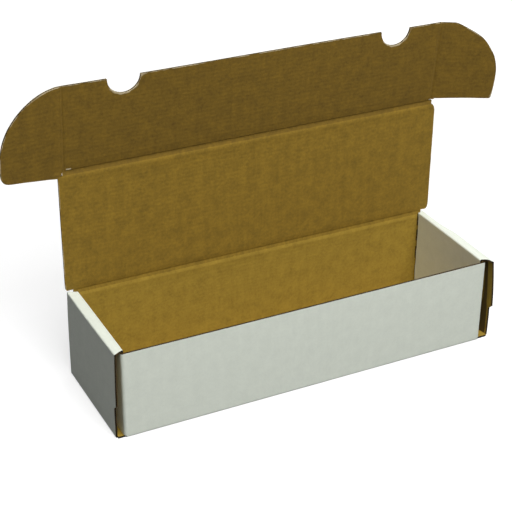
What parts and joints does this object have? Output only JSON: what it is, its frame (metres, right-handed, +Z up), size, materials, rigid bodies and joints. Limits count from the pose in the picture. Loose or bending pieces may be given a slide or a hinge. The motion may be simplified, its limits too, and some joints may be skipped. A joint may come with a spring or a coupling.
{
  "type": "card storage box",
  "caption": "One-row card storage box folded from thin corrugated board, with roll-over ends, a hinged lid and a tuck flap whose ears slide into slots.",
  "frame": {"origin": "middle of the underside of the tray, on the face that the box stands on", "axes": "+X to the right along the box's length, -Y towards the front, +Z up; the lid hinges at +Y"},
  "size_m": [0.4069, 0.097, 0.2403],
  "materials": {
    "white_liner": "matte white-top liner",
    "kraft_liner": "matte brown kraft liner",
    "flute_medium": "matte fluted kraft"
  },
  "bodies": {
    "tray": {"back_wall_fluting": "flute_medium", "back_wall_inner_liner": "kraft_liner", "back_wall_outer_liner": "white_liner", "bottom_fluting": "flute_medium", "bottom_inner_liner": "kraft_liner", "bottom_outer_liner": "white_liner", "front_wall_fluting": "flute_medium", "front_wall_inner_liner": "kraft_liner", "front_wall_outer_liner": "white_liner", "left_back_dust_flap_fluting": "flute_medium", "left_back_dust_flap_inner_liner": "kraft_liner", "left_back_dust_flap_outer_liner": "white_liner", "left_front_dust_flap_fluting": "flute_medium", "left_front_dust_flap_inner_liner": "kraft_liner", "left_front_dust_flap_outer_liner": "white_liner", "left_inner_end_fluting": "flute_medium", "left_inner_end_inner_liner": "kraft_liner", "left_inner_end_outer_liner": "white_liner", "left_outer_end_fluting": "flute_medium", "left_outer_end_inner_liner": "kraft_liner", "left_outer_end_outer_liner": "white_liner", "left_rollover_fluting": "flute_medium", "left_rollover_inner_liner": "kraft_liner", "left_rollover_outer_liner": "white_liner", "lid_crease_inner_liner": "kraft_liner", "lid_crease_outer_liner": "white_liner", "right_back_dust_flap_fluting": "flute_medium", "right_back_dust_flap_inner_liner": "kraft_liner", "right_back_dust_flap_outer_liner": "white_liner", "right_front_dust_flap_fluting": "flute_medium", "right_front_dust_flap_inner_liner": "kraft_liner", "right_front_dust_flap_outer_liner": "white_liner", "right_inner_end_fluting": "flute_medium", "right_inner_end_inner_liner": "kraft_liner", "right_inner_end_outer_liner": "white_liner", "right_outer_end_fluting": "flute_medium", "right_outer_end_inner_liner": "kraft_liner", "right_outer_end_outer_liner": "white_liner", "right_rollover_fluting": "flute_medium", "right_rollover_inner_liner": "kraft_liner", "right_rollover_outer_liner": "white_liner"},
    "lid": {"lid_fluting": "flute_medium", "lid_inner_liner": "kraft_liner", "lid_outer_liner": "white_liner", "tuck_flap_crease_inner_liner": "kraft_liner", "tuck_flap_crease_outer_liner": "white_liner"},
    "tuck_flap": {"left_ear_crease_inner_liner": "kraft_liner", "left_ear_crease_outer_liner": "white_liner", "right_ear_crease_inner_liner": "kraft_liner", "right_ear_crease_outer_liner": "white_liner", "tuck_flap_fluting": "flute_medium", "tuck_flap_inner_liner": "kraft_liner", "tuck_flap_outer_liner": "white_liner"},
    "left_ear": {"left_ear_fluting": "flute_medium", "left_ear_inner_liner": "kraft_liner", "left_ear_outer_liner": "white_liner"},
    "right_ear": {"right_ear_fluting": "flute_medium", "right_ear_inner_liner": "kraft_liner", "right_ear_outer_liner": "white_liner"}
  },
  "joints": [
    {"name": "lid_hinge", "type": "hinge", "parent": "tray", "child": "lid", "pos_m": [0, 0.04685, 0.07305], "axis": [1, 0, 0], "range_deg": [-90, 89.8], "deforming": ["lid_crease_outer_liner", "lid_crease_inner_liner"]},
    {"name": "tuck_flap_hinge", "type": "hinge", "parent": "lid", "child": "tuck_flap", "pos_m": [0, 0.04685, 0.17105], "axis": [1, 0, 0], "range_deg": [-21.2, 83.8], "deforming": ["tuck_flap_crease_outer_liner", "tuck_flap_crease_inner_liner"]},
    {"name": "left_ear_hinge", "type": "hinge", "parent": "tuck_flap", "child": "left_ear", "pos_m": [-0.1555, 0.04296, 0.20684], "axis": [0, -0.108, 0.9942], "range_deg": [-16, 83.5], "deforming": ["left_ear_crease_outer_liner", "left_ear_crease_inner_liner"]},
    {"name": "right_ear_hinge", "type": "hinge", "parent": "tuck_flap", "child": "right_ear", "pos_m": [0.1555, 0.04296, 0.20684], "axis": [0, 0.108, -0.9942], "range_deg": [-32, 67.5], "deforming": ["right_ear_crease_outer_liner", "right_ear_crease_inner_liner"]}
  ]
}
